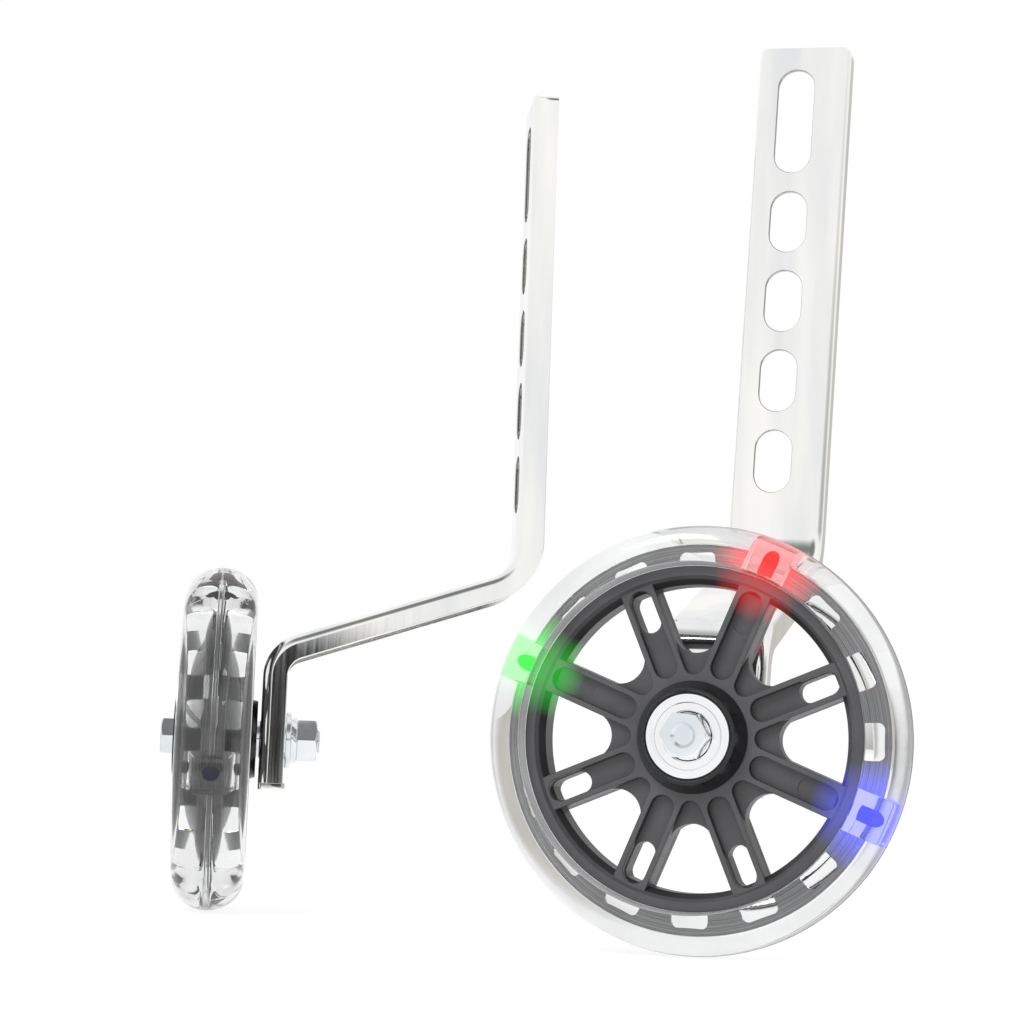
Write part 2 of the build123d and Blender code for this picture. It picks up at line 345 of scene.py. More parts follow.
def mesh_from(bm):
    """A mesh with its doubled points welded and its faces turned outward."""
    bmesh.ops.remove_doubles(bm, verts=bm.verts, dist=WELD_REACH)
    bmesh.ops.recalc_face_normals(bm, faces=bm.faces)
    mesh = bpy.data.meshes.new("form")
    bm.to_mesh(mesh)
    bm.free()
    return mesh


def bridge(bm, rings, closed=True):
    """Faces between rings of points, which are closed or open."""
    for lower, upper in zip(rings, rings[1:]):
        for k in range(0 if closed else 1, len(lower)):
            bm.faces.new((lower[k - 1], lower[k], upper[k], upper[k - 1]))


def capped(bm, rings):
    """A solid from closed rings of points, its two ends closed."""
    bridge(bm, rings)
    bm.faces.new(rings[0])
    bm.faces.new(rings[-1])
    return mesh_from(bm)


def polar(rings, steps=ROUND_STEPS, closed=True):
    """A solid about Z from rings that give a radius and a height at each angle."""
    bm = bmesh.new()
    rows = []
    for s in range(steps):
        angle = math.tau * s / steps
        places = [ring(angle) for ring in rings]
        rows.append([bm.verts.new((r * math.cos(angle), r * math.sin(angle), z)) for r, z in places])
    bridge(bm, rows + rows[:1], closed)
    return mesh_from(bm)


def lathe(profile, steps=ROUND_STEPS, closed=True):
    """A solid turned about Z from a profile of radii and heights."""
    return polar([lambda angle, r=r, z=z: (r, z) for r, z in profile], steps, closed)


def plate(loops, low, high, edge, steps=4):
    """A flat piece between two heights, from an outline and the holes in it, with rounded edges."""
    bm = bmesh.new()
    rows = []
    for s in range(steps + 1):
        turn = math.pi / 2 * s / steps
        rows.append((edge * (1 - math.sin(turn)), low + edge * (1 - math.cos(turn))))
    rows += [(inset, low + high - height) for inset, height in reversed(rows)]
    caps = [[], []]
    for order, loop in enumerate(loops):
        points = [Vector(p) for p in loop]
        area = sum(points[k - 1].cross(points[k]) for k in range(len(points)))
        side = math.copysign(1, area) * (1 if order == 0 else -1)
        rings = []
        for inset, height in rows:
            ring = []
            for k, point in enumerate(points):
                before = (point - points[k - 1]).normalized()
                after = (points[(k + 1) % len(points)] - point).normalized()
                inward = Vector((-before.y - after.y, before.x + after.x)).normalized()
                reach = inset / max(inward.dot(Vector((-before.y, before.x))), MITRE_LIMIT)
                place = point + inward * reach * side
                ring.append(bm.verts.new((place.x, place.y, height)))
            rings.append(ring)
        bridge(bm, rings)
        for cap, ring in zip(caps, (rings[0], rings[-1])):
            cap += [bm.edges.get((ring[k - 1], ring[k])) for k in range(len(ring))]
    for cap in caps:
        bmesh.ops.triangle_fill(bm, edges=cap, use_beauty=True)
    return mesh_from(bm)


def joined(meshes):
    """Several meshes as one, each kept whole."""
    bm = bmesh.new()
    for mesh in meshes:
        bm.from_mesh(mesh)
    whole = bpy.data.meshes.new("form")
    bm.to_mesh(whole)
    bm.free()
    return whole


def moved(mesh, matrix):
    """A copy of a mesh in another place."""
    copy = mesh.copy()
    copy.transform(matrix)
    if matrix.determinant() < 0:
        copy.flip_normals()
    return copy


def in_scene(name, data):
    """A new object that is in the scene."""
    made = bpy.data.objects.new(name, data)
    bpy.context.scene.collection.objects.link(made)
    return made


def combined(mesh, other, operation):
    """Two solids joined into one, or the second cut out of the first."""
    holder = in_scene("holder", mesh)
    tool = in_scene("tool", other)
    boolean = holder.modifiers.new("boolean", "BOOLEAN")
    boolean.object = tool
    boolean.operation = operation
    boolean.solver = "MANIFOLD"
    graph = bpy.context.evaluated_depsgraph_get()
    result = bpy.data.meshes.new_from_object(
        holder.evaluated_get(graph), preserve_all_data_layers=True, depsgraph=graph
    )
    for item in (holder, tool):
        bpy.data.objects.remove(item)
    return result


def shaded(mesh, angle=SHADE_ANGLE):
    """Smooth shading in which flat faces stay flat, however they are cut into triangles."""
    limit = math.cos(math.radians(angle))
    areas = defaultdict(float)
    around = defaultdict(dict)
    for face in mesh.polygons:
        plane = (*(round(v, 3) for v in face.normal), round(face.normal.dot(face.center), 2))
        areas[plane] += face.area
        for corner in face.vertices:
            around[corner][plane] = face.normal.copy()
    normals = []
    for face in mesh.polygons:
        for corner in face.vertices:
            total = Vector((0, 0, 0))
            for plane, normal in around[corner].items():
                if normal.dot(face.normal) > limit:
                    total += normal * areas[plane]
            normals.append(total.normalized())
    mesh.shade_smooth()
    mesh.normals_split_custom_set(normals)
    return mesh


# Hub

def star(start, reach, inset):
    """The outline of all the spokes, with round-ended gaps between arms that end at a radius."""
    half_pitch = math.radians(180 / spoke_count)
    half_width = spoke_width / 2 - inset
    middle = (start - half_width) / (1 - math.sin(half_pitch))
    round_end = middle - start
    tangent = 90 + 180 / spoke_count
    inner = arc((middle, 0), (round_end, round_end), 360 - tangent, tangent, steps=20)
    side = math.degrees(half_pitch - math.asin(half_width / reach))
    arm = arc((0, 0), (reach, reach), side, 360 / spoke_count - side, steps=6)
    outline = []
    for k in range(spoke_count):
        outline += turned(inner + arm, 360 / spoke_count * k)
    return outline


def hub_spokes():
    """The spokes: their core, the raised ribs on both faces and the floors of the lit pockets."""
    boss = boss_radius - boss_end_wall
    core_reach = (floor_inside + floor_radius) / 2
    rib_reach = lip_inside - overlap
    core_loops = [star(gap_start_radius, core_reach, overlap / 2), circle(boss - overlap)]
    rib_loops = [star(web_start_radius, rib_reach, 0), circle(boss)]
    panel = pill(panel_start_radius, panel_end_radius, panel_width)
    slot = pill(slot_start_radius, panel_end_radius - slot_ledge, panel_width - 2 * slot_ledge)
    seat = pill(slot_start_radius - spoke_rib, core_reach - overlap, panel_width + spoke_rib)
    floor_half_depth = core_half_depth - pocket_step
    floors = []
    for angle in spoke_angles:
        rib_loops.append(turned(panel, angle))
        core_loops.append(turned(slot, angle))
        if angle in light_angles.values():
            floors.append(plate([turned(seat, angle)], -floor_half_depth, floor_half_depth, moulded_edge / 2))
    core = plate(core_loops, -core_half_depth, core_half_depth, moulded_edge / 3)
    front = plate(rib_loops, core_half_depth - overlap, spoke_half_depth, moulded_edge)
    back = moved(front, Matrix.Scale(-1, 4, (0, 0, 1)))
    return [core, front, back] + floors


def hub_boss():
    """The tapered boss round the two bearings."""
    seat = bearing_outside / 2
    end = boss_half_length
    half = [
        (boss_bore_radius, bearing_back),
        (seat, bearing_back),
        (seat, bearing_face),
        (seat + boss_mouth, end),
        (seat + boss_end_wall, end),
        (boss_radius, spoke_half_depth),
    ]
    radii = [0, 0, moulded_crease, moulded_crease, moulded_edge, 0]
    points = half + [(r, -z) for r, z in reversed(half)]
    return lathe(rounded(points, radii + radii[::-1]))


def rim_outside():
    """The rim's outer side: its two lips and the channel between them."""
    half = [(floor_radius, groove_half_width), (lip_radius, groove_mouth), (lip_radius, rim_half_width)]
    return [(r, -z) for r, z in reversed(half)] + half


def hub_rim():
    """The rim, a shallow channel open outward."""
    half = [(lip_inside, rim_half_width), (floor_inside, floor_half_width)]
    points = rim_outside() + half + [(r, -z) for r, z in reversed(half)]
    edge, crease = moulded_edge, moulded_crease
    half_radii = [edge, crease, crease]
    return lathe(rounded(points, half_radii + half_radii[::-1] + [edge, crease, crease, edge]))


def light_block():
    """A clear block that stands in the rim's groove, lying along +X."""
    half = light_width / 2
    outline = rectangle(floor_inside, light_end_radius, -half, half, light_corner)
    block = plate([outline], -light_half_depth, light_half_depth, moulded_edge)
    line = [(r + air_film, z) for r, z in rim_outside()]
    plug = lathe([(0, line[0][1])] + line + [(0, line[-1][1])], closed=False)
    return shaded(combined(block, plug, "DIFFERENCE"))


def hub_flange(growth=0):
    """The thin windowed flange, open where the lights stand."""
    half = light_width / 2 - growth
    foot, top = floor_radius - overlap, flange_radius + growth
    foot_angle = math.degrees(math.asin(half / foot))
    top_angle = math.degrees(math.asin(half / top))
    seats = sorted(light_angles.values())
    outline = []
    for angle, after in zip(seats, seats[1:] + [seats[0] + 360]):
        outline += turned(arc((0, 0), (foot, foot), -foot_angle, foot_angle, steps=6), angle)
        outline += arc((0, 0), (top, top), angle + top_angle, after - top_angle, steps=60)
    low, high = window_end - window_height + growth, window_end - growth
    side = window_length / 2 - growth
    window = rectangle(low, high, -side, side, window_corner)
    windows = [turned(window, angle) for angle in window_angles if angle not in seats]
    inside = circle(floor_inside + 2 * overlap)
    depth = flange_thickness / 2 + growth
    return plate([outline, inside] + windows, -depth, depth, overlap)


def hub():
    """The black moulding of boss, spokes, rim and flange as one solid."""
    whole = hub_rim()
    for part in hub_spokes() + [hub_boss(), hub_flange()]:
        whole = combined(whole, part, "UNION")
    return shaded(whole)


# Tyre and lights

def tyre():
    """The clear ring round the hub's flange and the light blocks, with the mould's seam round its crown."""
    crown_height = tyre_radius - skin_allowance - shoulder_radius - seam_height
    fine = [seam_angle_step * k for k in range(-seam_steps, seam_steps + 1)]
    coarse = [crown_angle_step * k for k in range(-crown_steps, crown_steps + 1)]
    angles = fine + [angle for angle in coarse if abs(angle) > max(fine)]
    crown = []
    for angle in sorted(angles):
        turn = math.radians(angle)
        height = tyre_half_width * math.sin(turn)
        seam = seam_height * math.exp(-((height / seam_width) ** 2))
        crown.append(Vector((shoulder_radius + crown_height * math.cos(turn) + seam, height)))
    bead = (bead_rise - air_film, bead_width)
    upper = arc((shoulder_radius, rim_half_width), bead, 90, 180, steps=14)
    lower = arc((shoulder_radius, -rim_half_width), bead, 180, 270, steps=14)
    groove = [Vector((r + air_film, z)) for r, z in reversed(rim_outside()[1:-1])]
    ring = lathe(crown + upper[1:] + groove + lower[:-1], TYRE_STEPS)
    return shaded(combined(ring, hub_flange(air_film), "DIFFERENCE"), TYRE_ANGLE)


def led():
    """A round-nosed LED lying along +X."""
    nose = arc((0, led_body), (led_radius, led_radius), 0, 90, steps=12)
    mesh = lathe([Vector((0, 0)), Vector((led_radius, 0))] + nose, LED_STEPS, closed=False)
    start = Matrix.Translation((lip_radius + led_rise, 0, 0))
    return shaded(moved(mesh, start @ Matrix.Rotation(math.pi / 2, 4, "Y")))


# Bearings and fasteners

def bearing_outer_ring():
    """The outer ring with a pressed shield near each face, its outer end at height 0."""
    outside, inside = bearing_outside / 2, outer_ring_inside / 2
    hole = inner_ring_outside / 2 + shield_gap
    groove = shield_groove
    half = [
        (outside, -bearing_width / 2),
        (outside, -ring_edge),
        (outside - ring_edge, 0),
        (inside + groove, 0),
        (inside + groove, -2 * groove),
        (inside - groove, -2 * groove),
        (inside - 2 * groove, -shield_inset),
        (hole + groove, -shield_inset),
        (hole, -shield_inset - shield_thickness / 2),
        (hole, -shield_inset - shield_thickness),
        (inside, -2 * groove - shield_thickness),
    ]
    return lathe(half + [(r, -bearing_width - z) for r, z in reversed(half[1:])])


def bearing_inner_ring():
    """The ring on the axle, its outer end at height 0."""
    return lathe(rectangle(bearing_bore / 2, inner_ring_outside / 2, -bearing_width, 0, ring_edge))


def washer_section(outside, low, high):
    """A washer's section with rounded edges, from the axle hole outward."""
    return rectangle(axle_hole, outside / 2, low, high, washer_edge, steps=3)


def washer(outside, low, high):
    return shaded(lathe(washer_section(outside, low, high), FASTENER_STEPS))


def spring_washer():
    """A flat coil of square section whose two ends meet at a slanting slit."""
    low, high = spring_washer_end, flat_washer_end
    section = washer_section(spring_washer_outside, low, high)
    gap = spring_washer_slit / (spring_washer_outside / 2)
    bm = bmesh.new()
    rows = []
    for s in range(FASTENER_STEPS + 1):
        turn = (math.tau - gap) * s / FASTENER_STEPS
        row = []
        for r, z in section:
            angle = gap / 2 + turn + spring_washer_slant * (z - low) / (high - low)
            row.append(bm.verts.new((r * math.cos(angle), r * math.sin(angle), z)))
        rows.append(row)
    return shaded(capped(bm, rows))


def hex_rings(across_flats, low, high):
    """A hexagon's rings from its lower face to its upper one, whose corners are turned off."""
    sixth = math.pi / 3
    corner = across_flats / math.sqrt(3)
    slope = math.tan(math.radians(hex_corner_angle))
    top = corner - hex_chamfer / slope
    rise = math.copysign(1, high - low)

    def reach(angle):
        return across_flats / 2 / math.cos((angle % sixth) - sixth / 2)

    def shoulder(angle):
        cut = hex_chamfer - (corner - reach(angle)) * slope
        return reach(angle), high - rise * max(cut, 0)

    return [
        lambda angle: (reach(angle) - washer_edge, low),
        lambda angle: (reach(angle), low + rise * washer_edge),
        shoulder,
        lambda angle: (min(top, reach(angle)), high),
    ]


def ring_at(radius, height):
    return lambda angle: (radius, height)


def thread_ring(height):
    """A ring of the bolt's screw thread."""
    def place(angle):
        phase = math.tau * height / thread_pitch - angle
        return bolt_diameter / 2 - thread_depth * (0.5 + 0.5 * math.cos(phase)), height
    return place


def axle_bolt():
    """A hex bolt with a dimpled head and a screw thread at its end."""
    radius = bolt_diameter / 2
    tip = nut_end - bolt_end
    thread_start = tip + bolt_tip_chamfer
    thread_length = bolt_end + thread_pitch
    rings = [ring_at(0, tip), ring_at(radius - thread_depth - bolt_tip_chamfer, tip)]
    rings += [thread_ring(thread_start + thread_length * k / thread_steps) for k in range(thread_steps + 1)]
    rings += [ring_at(radius, tip + thread_length + thread_pitch), ring_at(radius, bearing_face)]
    top = bearing_face + bolt_head_height
    rings += hex_rings(bolt_head_across_flats, bearing_face, top)
    dimple = bolt_dimple_diameter / 2
    dimple_floor = top - bolt_dimple_depth
    inset, drop = bolt_dimple_lip
    rings += [ring_at(dimple, top), ring_at(dimple - inset, top - drop)]
    rings += [ring_at(dimple - bolt_dimple_depth, dimple_floor), ring_at(0, dimple_floor)]
    return shaded(polar(rings, FASTENER_STEPS, closed=False), FASTENER_ANGLE)


def axle_nut():
    """A hex nut with its turned-off corners facing inward."""
    bore = bolt_diameter / 2 + nut_clearance
    low, high = spring_washer_end, nut_end
    rings = [ring_at(bore, low - thread_pitch / 2), ring_at(bore + thread_depth, low)]
    rings += hex_rings(nut_across_flats, low, high)
    rings += [ring_at(bore + thread_depth, high), ring_at(bore, high + thread_depth)]
    return shaded(polar(rings, FASTENER_STEPS), FASTENER_ANGLE)


# Bracket

def channel_section():
    """The channel across its length: places across the width and behind the web's front."""
    half = channel_width / 2
    inner = half - sheet
    points = [
        (-half, 0),
        (half, 0),
        (half, channel_depth),
        (inner, channel_depth),
        (inner, sheet),
        (-inner, sheet),
        (-inner, channel_depth),
        (-half, channel_depth),
    ]
    bend, inside, edge = channel_corner, channel_corner - sheet, sheared_edge
    return rounded(points, [bend, bend, edge, edge, inside, inside, edge, edge], steps=6)


def bent_line():
    """Stations along the web's front, from the plate's bottom up, each with its place and depth direction."""
    plate_face, strap_face = -web_front, -web_front + strap_offset
    half_turn = (math.pi / 2 - diagonal_slope) / 2
    lower_room = lower_bend_radius * math.tan(half_turn)
    upper_room = upper_bend_radius * math.tan(half_turn)
    upper_corner = lower_bend_height + strap_offset * math.tan(diagonal_slope)
    lower_middle = Vector((plate_face + lower_bend_radius, lower_bend_height - lower_room))
    upper_middle = Vector((strap_face - upper_bend_radius, upper_corner + upper_room))
    sweep = math.pi / 2 - diagonal_slope
    stations = [(Vector((plate_face, plate_bottom)), Vector((1, 0)))]
    steps = range(bend_steps + 1)
    bends = [(lower_middle, -lower_bend_radius, steps), (upper_middle, upper_bend_radius, reversed(steps))]
    for middle, radius, turns in bends:
        for k in turns:
            turn = sweep * k / bend_steps
            depth = Vector((math.cos(turn), -math.sin(turn)))
            stations.append((middle + depth * radius, depth))
    stations.append((Vector((strap_face, strap_top)), Vector((1, 0))))
    return stations


def swept_channel():
    """The channel's section carried along the bent line."""
    bm = bmesh.new()
    section = channel_section()
    rows = []
    for place, depth in bent_line():
        points = [(across, place + depth * inward) for across, inward in section]
        rows.append([bm.verts.new((across, point.x, point.y)) for across, point in points])
    return capped(bm, rows)


def upright(mesh, across, inward, height):
    """A mesh drawn flat, stood up so that its X points up and its Z points inward."""
    turn = Matrix(((0, -1, 0, across), (0, 0, 1, inward), (1, 0, 0, height), (0, 0, 0, 1)))
    return moved(mesh, turn)


def strap_slots():
    """Each slot's middle height and length."""
    long_middle = strap_top - slot_margin - long_slot_length / 2
    first = strap_top - slot_margin - long_slot_length - slot_bridge - short_slot_length / 2
    return [(long_middle, long_slot_length)] + [
        (first - short_slot_pitch * k, short_slot_length) for k in range(short_slot_count)
    ]


def slot_cutter(length):
    """A slot's punch, flared at both faces of the sheet so that it leaves rounded edges."""
    steps = 3
    rows = [(-sheet, sheared_edge)]
    for k in range(steps + 1):
        turn = math.pi / 2 * k / steps
        rows.append((sheared_edge * (1 - math.cos(turn)), sheared_edge * (1 - math.sin(turn))))
    rows += [(sheet - depth, growth) for depth, growth in reversed(rows)]
    bm = bmesh.new()
    rings = []
    for depth, growth in rows:
        outline = pill(-length / 2 - growth, length / 2 + growth, slot_opening + 2 * growth)
        rings.append([bm.verts.new((point.x, point.y, depth)) for point in outline])
    return capped(bm, rings)


def bracket_cutters():
    """What is cut out of the channel: the slots, the axle hole and the strap's top corners."""
    strap_face = -web_front + strap_offset
    cutters = []
    for middle, length in strap_slots():
        cutters.append(upright(slot_cutter(length), slot_shift, strap_face, middle))
    hole = plate([circle(axle_hole, HOLE_STEPS)], -sheet, 2 * sheet, sharp_edge)
    cutters.append(upright(hole, 0, -web_front, 0))
    far = 2 * end_corner
    corner = arc((0, 0), (end_corner, end_corner), 90, 0, steps=12) + [(far, 0), (far, far), (0, far)]
    for side in (1, -1):
        outline = [(x, -side * y) for x, y in corner]
        cutter = plate([outline], -sheet, channel_depth + sheet, sharp_edge)
        across = side * (channel_width / 2 - end_corner)
        cutters.append(upright(cutter, across, strap_face, strap_top - end_corner))
    return joined(cutters)


def end_tab():
    """The small tab under the plate's foot."""
    half = channel_width / 2 - tab_inset
    outline = rectangle(-half, half, 0, tab_length, tab_corner)
    tab = plate([outline], plate_bottom - tab_drop, plate_bottom + sheared_edge, sheared_edge)
    return moved(tab, Matrix.Translation((0, tab_gap - web_front, 0)))


def bracket():
    """The pressed channel with its slots, axle hole and end tab."""
    channel = combined(swept_channel(), bracket_cutters(), "DIFFERENCE")
    return mark_punched_shade(shaded(combined(channel, end_tab(), "UNION")))


def mark_punched_shade(mesh):
    """Mark the faces inside the slots, which the punch left dull; the darker tone they get is partly painted
    shade inside the slots.
    """
    margin = 2 * sheared_edge
    mark_tones_and_light = []
    for face in mesh.polygons:
        place = face.center
        beside = abs(place.x - slot_shift) < slot_opening / 2 + margin
        level = any(abs(place.z - middle) < length / 2 + margin for middle, length in strap_slots())
        mark_tones_and_light.append(float(beside and level and abs(face.normal.y) < wall_facing))
    mesh.attributes.new("punched_shade", "FLOAT", "FACE").data.foreach_set("value", mark_tones_and_light)
    return mesh


# Materials

# Metals: dark and pale tone, least and greatest roughness, and the grain's scale and stretch
METALS = {
    "plated_steel": ((0.80, 0.81, 0.82), (0.975, 0.965, 0.93), 0.05, 0.10, 900, (1, 1, 0.02)),
    "zinc_steel": ((0.74, 0.78, 0.81), (0.88, 0.90, 0.92), 0.10, 0.18, 700, (1, 1, 1)),
    "bearing_steel": ((0.88, 0.89, 0.90), (0.94, 0.945, 0.95), 0.10, 0.18, 900, (1, 1, 1)),
    "magnet": ((0.25, 0.25, 0.26), (0.34, 0.34, 0.35), 0.35, 0.5, 900, (1, 1, 1)),
    "coil": ((0.62, 0.30, 0.12), (0.80, 0.42, 0.18), 0.25, 0.4, 1800, (0.1, 0.1, 1)),
}
CLOUD_STRETCH = 0.15

# Dark and pale tone of the other finishes, some of which carry painted shade
# Slot walls: the punch's dull sheared faces, painted darker as shade inside the slots
PUNCHED_WALL_SHADE = ((0.30, 0.30, 0.295), (0.44, 0.435, 0.425))
PLASTIC_SATIN = ((0.072, 0.072, 0.076), (0.090, 0.090, 0.095))
# Side faces of the ribs and pockets: painted shade
PLASTIC_WALL_SHADE = ((0.020, 0.020, 0.021), (0.030, 0.030, 0.031))
# The boss: painted darker as shade on its side; its polish is the lower roughness set below
PLASTIC_BOSS_SHADE = ((0.004, 0.004, 0.005), (0.007, 0.007, 0.008))
URETHANE_CLEAR = ((0.80, 0.805, 0.81), (0.965, 0.97, 0.975))
# Dark tint at the tyre's bead: painted shade
URETHANE_BEAD_SHADE = ((0.15, 0.15, 0.155), (0.22, 0.22, 0.225))
URETHANE_IOR = 1.46
BLOCK_IOR = 1.04
BOSS_POLISH = 0.22

# Lights: their colours, how far a tint is made paler, and how strongly they shine
LIGHT_COLOURS = {"red": (1.0, 0.02, 0.02), "green": (0.03, 0.85, 0.05), "blue": (0.06, 0.08, 1.0)}
# A lit block's tint: painted light from its LED
LIT_BLOCK = (0.46, 0.50)
UNLIT_BLOCK = (0.96, 0.96, 0.96)
UNLIT_LED = (0.02, 0.06)
BLOCK_SHINE = 0.1
LED_SHINE = 0.7

# The lights' glow on a wheel: where it starts to fade and where it ends, in millimetres, and its strength
HUB_GLOW = (3, 15, 0.8)
TYRE_GLOW = (3, 14, 0.35)

# Where one tone gives way to another, in millimetres from an edge
TONE_NEAR = 0.1
TONE_FAR = 0.4
LIP_FADE = (0.3, 0.15)
BEAD_FADE = 0.2
BOSS_FADE = 0.5
BOSS_SKIRT = 1.0

# The part of a noise's range that is used
NOISE_LOW = 0.35
NOISE_HIGH = 0.65

# Vector operations whose result is one value
ONE_VALUE = ("DOT_PRODUCT", "DISTANCE", "LENGTH")


def material(name):
    """A new material, its nodes and its main shader."""
    made = bpy.data.materials.new(name)
    made.use_nodes = True
    return made, made.node_tree, made.node_tree.nodes["Principled BSDF"]


def link(tree, source, target):
    """Give a socket what another one puts out, or a fixed value."""
    if isinstance(source, bpy.types.NodeSocket):
        tree.links.new(source, target)
    else:
        target.default_value = source


def add(tree, kind, **values):
    """A node whose inputs and other settings are given by name."""
    node = tree.nodes.new(kind)
    for key, value in values.items():
        if key in node.inputs:
            link(tree, value, node.inputs[key])
        else:
            setattr(node, key, value)
    return node


def dress(tree, shader, **values):
    """Set a shader's inputs, whose names have underscores here."""
    for key, value in values.items():
        link(tree, value, shader.inputs[key.replace("_", " ")])


def vector_math(tree, operation, first, second=None, scale=None):
    """A vector operation on sockets or fixed values."""
    node = add(tree, "ShaderNodeVectorMath", operation=operation)
    for key, source in ((0, first), (1, second), ("Scale", scale)):
        if source is not None:
            link(tree, source, node.inputs[key])
    return node.outputs["Value" if operation in ONE_VALUE else "Vector"]


def value_math(tree, operation, first, second=0.0):
    """A sum on one or two values."""
    node = add(tree, "ShaderNodeMath", operation=operation)
    link(tree, first, node.inputs[0])
    link(tree, second, node.inputs[1])
    return node.outputs["Value"]


def here(tree, unit=MM):
    """A point's place at rest in metres, from the piece's own coordinates."""
    place = add(tree, "ShaderNodeTexCoord").outputs["Object"]
    return vector_math(tree, "SCALE", place, scale=unit)


def noise(tree, scale, detail, stretch=(1, 1, 1), unit=MM):
    """A noise texture that stays on the piece."""
    place = add(tree, "ShaderNodeMapping", Scale=stretch, Vector=here(tree, unit)).outputs["Vector"]
    return add(tree, "ShaderNodeTexNoise", Scale=scale, Detail=detail, Vector=place).outputs["Fac"]


def ranged(tree, source, low, high, start=NOISE_LOW, end=NOISE_HIGH):
    """A value carried from one range to another."""
    node = add(tree, "ShaderNodeMapRange", Value=source)
    for key, value in zip(("From Min", "From Max", "To Min", "To Max"), (start, end, low, high)):
        node.inputs[key].default_value = value
    return node.outputs["Result"]


def rising(tree, place, start, end):
    """0 before one place and 1 past another, both in millimetres."""
    return ranged(tree, place, 0.0, 1.0, start * MM, end * MM)


def falling(tree, place, start, end):
    """1 before one place and 0 past another, both in millimetres."""
    return ranged(tree, place, 1.0, 0.0, start * MM, end * MM)


def ramp(tree, source, tones):
    """A colour between two tones."""
    node = add(tree, "ShaderNodeValToRGB", Fac=source)
    for element, position, tone in zip(node.color_ramp.elements, (NOISE_LOW, NOISE_HIGH), tones):
        element.position = position
        element.color = (*tone, 1)
    return node.outputs["Color"]


def mixed(tree, factor, first, second):
    """One colour or the other, by a factor."""
    return add(tree, "ShaderNodeMix", data_type="RGBA", Factor=factor, A=first, B=second).outputs["Result"]


def bump(tree, source, strength, depth):
    """A surface raised and sunk by a texture."""
    return add(tree, "ShaderNodeBump", Strength=strength, Distance=depth, Height=source).outputs["Normal"]


def metal(name, dark, light, smooth, rough, grain, stretch, unit):
    """A plated metal with faint drawing lines and cloudy gloss, dull where the punch cut it, and darker there
    as painted shade.
    """
    made, tree, shader = material(name)
    cloud = noise(tree, scale=70, detail=3, stretch=(1, 1, max(stretch[2], CLOUD_STRETCH)), unit=unit)
    lines = noise(tree, grain, detail=6, stretch=stretch, unit=unit)
    # The slot walls the punch cut take a darker tone, partly painted shade
    punched_shade = add(tree, "ShaderNodeAttribute", attribute_name="punched_shade").outputs["Fac"]
    colour = mixed(tree, punched_shade, ramp(tree, cloud, (dark, light)), ramp(tree, lines, PUNCHED_WALL_SHADE))
    roughness = ranged(tree, lines, smooth, rough)
    skin = bump(tree, lines, strength=0.02, depth=0.0002)
    dress(tree, shader, Metallic=1.0, Base_Color=colour, Roughness=roughness, Normal=skin)
    return made


def axle_places(tree, wheel):
    """How far a point lies from a wheel's axle and from its middle plane, in metres."""
    axis = wheel.col[2].xyz
    from_middle = vector_math(tree, "SUBTRACT", here(tree), wheel.translation)
    across = vector_math(tree, "CROSS_PRODUCT", from_middle, axis)
    along = vector_math(tree, "DOT_PRODUCT", from_middle, axis)
    return vector_math(tree, "LENGTH", across), value_math(tree, "ABSOLUTE", along)


def under_tyre(tree, reach, along):
    """1 on the hub's groove and flange, which the tyre covers, and 0 elsewhere."""
    bed = (floor_inside + floor_radius) / 2
    bed_width = (floor_half_width + groove_half_width) / 2
    lip = (lip_inside + lip_radius) / 2
    inner = ranged(tree, along, bed * MM, lip * MM, bed_width * MM, rim_half_width * MM)
    outward = rising(tree, value_math(tree, "SUBTRACT", reach, inner), -TONE_NEAR, TONE_NEAR)
    between = falling(tree, along, *(rim_half_width - inset for inset in LIP_FADE))
    return value_math(tree, "MULTIPLY", outward, between)


def black_plastic(name, wheel, mark_tones_and_light):
    """Moulded plastic: satin faces, side faces of the ribs painted dark as shade, a polished boss painted
    darker as shade, and paler ringed tones from tooling under the tyre, whose difference between the two
    wheels is painted light and shade.
    """
    made, tree, shader = material(name)
    cloud = noise(tree, scale=90, detail=4)
    grain = noise(tree, scale=2600, detail=2)
    reach, along = axle_places(tree, wheel)
    # The rib and pocket side faces, between the floor and the face, are painted dark as shade
    above_floor = rising(tree, along, core_half_depth + TONE_NEAR, core_half_depth + TONE_FAR)
    below_face = falling(tree, along, spoke_half_depth - TONE_FAR, spoke_half_depth - TONE_NEAR)
    wall_shade = value_math(tree, "MULTIPLY", above_floor, below_face)
    faces = mixed(tree, wall_shade, ramp(tree, cloud, PLASTIC_SATIN), ramp(tree, cloud, PLASTIC_WALL_SHADE))
    ring = value_math(tree, "ADD", reach, along)
    rings = add(tree, "ShaderNodeTexNoise", noise_dimensions="1D", Scale=4200.0, Detail=3.0, W=ring)
    # Ringed tool-mark tones, paler on one wheel than the other as painted light and shade
    ringed = ramp(tree, rings.outputs["Fac"], [(tone, tone, tone) for tone in mark_tones_and_light])
    outer = mixed(tree, under_tyre(tree, reach, along), faces, ringed)
    # The raised boss is painted near-black as shade; its polish only lowers the roughness
    raised = rising(tree, along, spoke_half_depth + TONE_NEAR, spoke_half_depth + BOSS_FADE)
    inward = falling(tree, reach, boss_radius, boss_radius + BOSS_SKIRT)
    boss = value_math(tree, "MULTIPLY", raised, inward)
    colour = mixed(tree, boss, outer, ramp(tree, cloud, PLASTIC_BOSS_SHADE))
    polish = value_math(tree, "MULTIPLY", boss, BOSS_POLISH)
    roughness = value_math(tree, "SUBTRACT", ranged(tree, grain, low=0.36, high=0.48), polish)
    skin = bump(tree, grain, strength=0.05, depth=0.0001)
    dress(tree, shader, Base_Color=colour, Roughness=roughness, Normal=skin)
    return made, tree, shader


